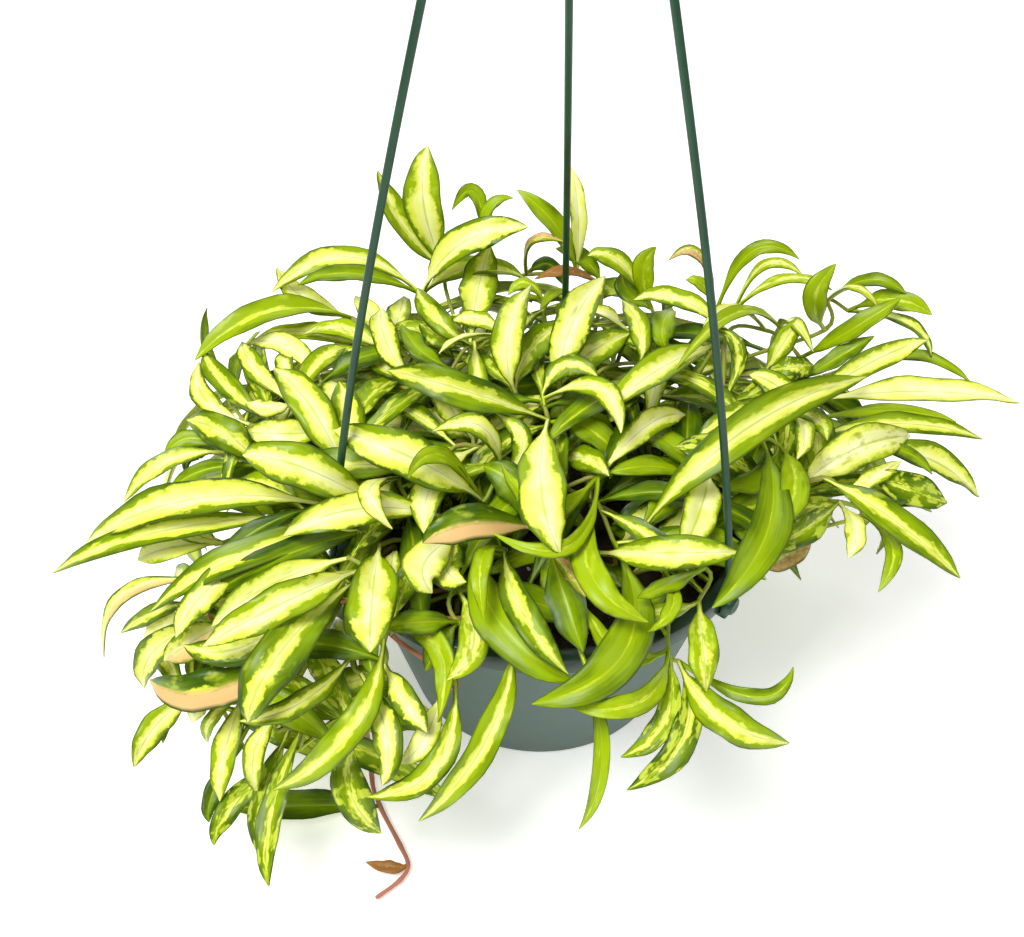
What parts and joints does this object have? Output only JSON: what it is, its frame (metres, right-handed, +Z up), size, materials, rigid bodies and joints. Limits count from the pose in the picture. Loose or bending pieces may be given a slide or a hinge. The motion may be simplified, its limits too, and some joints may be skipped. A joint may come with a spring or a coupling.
{
  "type": "potted trailing plant in hanging basket",
  "caption": "Variegated hoya with long narrow cream and green leaves, mounded over a green plastic hanging basket on a slim three-arm hanger.",
  "frame": {"origin": "centre of the basket's flat base, on the surface that it stands on", "axes": "+Z up along the basket's axis, the front towards -Y, +X to the viewer's right"},
  "size_m": [0.4557, 0.3276, 0.595],
  "materials": {
    "basket_green": "moulded hunter-green plastic, satin wall and glossier rim",
    "hanger_green": "moulded dark green plastic rods with a soft gloss",
    "soil_brown": "dark peat potting mix with bark and a few pale grains",
    "leaf_green": "succulent waxy leaf, cream to yellow along the middle with green margins, on thin green and tan stems"
  },
  "bodies": {
    "root": {"hanger_arm_back": "hanger_green", "hanger_arm_left": "hanger_green", "hanger_arm_right": "hanger_green", "hanger_hook": "hanger_green", "pot": "basket_green", "soil": "soil_brown", "vine_back_left": "leaf_green", "vine_back_mid": "leaf_green", "vine_back_right": "leaf_green", "vine_behind_a": "leaf_green", "vine_behind_b": "leaf_green", "vine_behind_c": "leaf_green", "vine_behind_d": "leaf_green", "vine_behind_e": "leaf_green", "vine_behind_f": "leaf_green", "vine_behind_g": "leaf_green", "vine_behind_h": "leaf_green", "vine_behind_i": "leaf_green", "vine_behind_k": "leaf_green", "vine_behind_l": "leaf_green", "vine_centre_curl": "leaf_green", "vine_centre_front": "leaf_green", "vine_centre_left": "leaf_green", "vine_centre_salmon": "leaf_green", "vine_centre_tall": "leaf_green", "vine_centre_up": "leaf_green", "vine_front_big": "leaf_green", "vine_front_dark": "leaf_green", "vine_front_green": "leaf_green", "vine_front_left_a": "leaf_green", "vine_front_left_b": "leaf_green", "vine_front_low": "leaf_green", "vine_front_right_a": "leaf_green", "vine_front_right_b": "leaf_green", "vine_front_twist": "leaf_green", "vine_left_belly": "leaf_green", "vine_left_drop": "leaf_green", "vine_left_fan": "leaf_green", "vine_left_long": "leaf_green", "vine_left_mid": "leaf_green", "vine_left_rise": "leaf_green", "vine_left_spread": "leaf_green", "vine_left_top": "leaf_green", "vine_left_upper": "leaf_green", "vine_low_left_a": "leaf_green", "vine_low_left_b": "leaf_green", "vine_right_arch": "leaf_green", "vine_right_back": "leaf_green", "vine_right_cream": "leaf_green", "vine_right_front": "leaf_green", "vine_right_hang": "leaf_green", "vine_right_long": "leaf_green", "vine_right_low": "leaf_green", "vine_right_mid": "leaf_green", "vine_right_top": "leaf_green", "vine_tall_left": "leaf_green", "vine_trailing": "leaf_green", "vine_within_a": "leaf_green", "vine_within_b": "leaf_green"}
  },
  "joints": []
}
